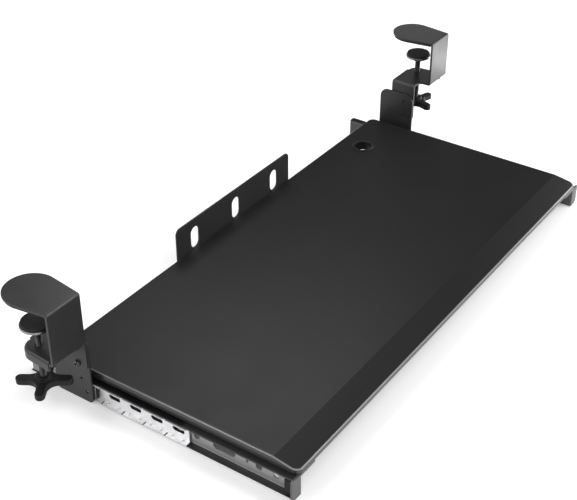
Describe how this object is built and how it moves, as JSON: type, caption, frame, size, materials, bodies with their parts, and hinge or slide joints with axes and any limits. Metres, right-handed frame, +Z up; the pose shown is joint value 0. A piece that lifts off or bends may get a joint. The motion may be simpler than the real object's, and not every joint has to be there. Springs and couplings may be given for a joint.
{
  "type": "under-desk keyboard tray",
  "caption": "Slide-out tray board on ball-bearing slides, hung from screw clamps that grip a desk's front edge, with a slotted back stop and a cable grommet.",
  "frame": {"origin": "middle of the gripped desk edge, on the desk's upper face, between the two clamps", "axes": "+X to the user's right, +Y away from the user into the desk, +Z up; the tray is pulled out at rest"},
  "size_m": [0.8566, 0.366, 0.1695],
  "materials": {
    "laminate": "black laminated board, fine satin texture",
    "black_coat": "black powder coat, satin",
    "grey_paint": "dark grey paint, satin",
    "grey_steel": "dark grey plated sheet steel",
    "zinc": "bright zinc plate",
    "ball_steel": "polished bearing steel",
    "black_plastic": "moulded black plastic, fine grain",
    "rubber": "matt black rubber",
    "fastener_steel": "zinc plated fastener",
    "dark_steel": "dark phosphated steel",
    "fastener_black": "blackened fastener"
  },
  "bodies": {
    "desk_clamps": {"left_clamp_bracket": "black_coat", "right_clamp_bracket": "black_coat", "left_jaw_pad": "rubber", "right_jaw_pad": "rubber", "left_clamp_nut": "dark_steel", "right_clamp_nut": "dark_steel", "left_hanger_plate": "black_coat", "right_hanger_plate": "black_coat", "left_hanger_bolts": "fastener_black", "right_hanger_bolts": "fastener_black", "left_fixed_rail": "grey_steel", "right_fixed_rail": "grey_steel", "left_rail_screws": "fastener_steel", "right_rail_screws": "fastener_steel", "left_rail_bumper": "black_plastic", "right_rail_bumper": "black_plastic"},
    "tray": {"tray_board": "laminate", "cable_grommet": "black_plastic", "back_stop": "black_coat", "back_stop_screws": "fastener_steel", "left_tray_bracket": "grey_paint", "right_tray_bracket": "grey_paint", "left_bracket_screws": "fastener_steel", "right_bracket_screws": "fastener_steel", "left_slide_channel": "grey_steel", "right_slide_channel": "grey_steel", "left_channel_screws": "fastener_steel", "right_channel_screws": "fastener_steel", "left_channel_stops": "black_plastic", "right_channel_stops": "black_plastic"},
    "left_cage": {"left_ball_cage": "zinc", "left_cage_balls": "ball_steel"},
    "right_cage": {"right_ball_cage": "zinc", "right_cage_balls": "ball_steel"},
    "left_foot": {"left_pressure_foot": "grey_steel", "left_foot_pad": "rubber"},
    "right_foot": {"right_pressure_foot": "grey_steel", "right_foot_pad": "rubber"},
    "left_screw": {"left_clamp_screw": "dark_steel", "left_star_knob": "black_plastic"},
    "right_screw": {"right_clamp_screw": "dark_steel", "right_star_knob": "black_plastic"}
  },
  "joints": [
    {"name": "tray_slide", "type": "slide", "parent": "desk_clamps", "child": "tray", "axis": [0, 1, 0], "range_m": [0, 0.248]},
    {"name": "left_cage_slide", "type": "slide", "parent": "desk_clamps", "child": "left_cage", "axis": [0, 1, 0], "range_m": [0, 0.124]},
    {"name": "right_cage_slide", "type": "slide", "parent": "desk_clamps", "child": "right_cage", "axis": [0, 1, 0], "range_m": [0, 0.124]},
    {"name": "left_screw_lift", "type": "slide", "parent": "desk_clamps", "child": "left_foot", "axis": [0, 0, 1], "range_m": [-0.0176, 0.0151]},
    {"name": "right_screw_lift", "type": "slide", "parent": "desk_clamps", "child": "right_foot", "axis": [0, 0, 1], "range_m": [-0.0176, 0.0151]},
    {"name": "left_screw_turn", "type": "hinge", "parent": "left_foot", "child": "left_screw", "pos_m": [-0.4, 0.035, -0.1], "axis": [0, 0, 1], "range_deg": [-5040, 4320]},
    {"name": "right_screw_turn", "type": "hinge", "parent": "right_foot", "child": "right_screw", "pos_m": [0.4, 0.035, -0.1], "axis": [0, 0, 1], "range_deg": [-5040, 4320]}
  ],
  "couplings": [
    {"joint": "left_cage_slide", "follows": "tray_slide", "ratio": 0.5},
    {"joint": "right_cage_slide", "follows": "tray_slide", "ratio": 0.5},
    {"joint": "left_screw_lift", "follows": "left_screw_turn", "m_per_rad": 0.00019894},
    {"joint": "right_screw_lift", "follows": "right_screw_turn", "m_per_rad": 0.00019894}
  ]
}
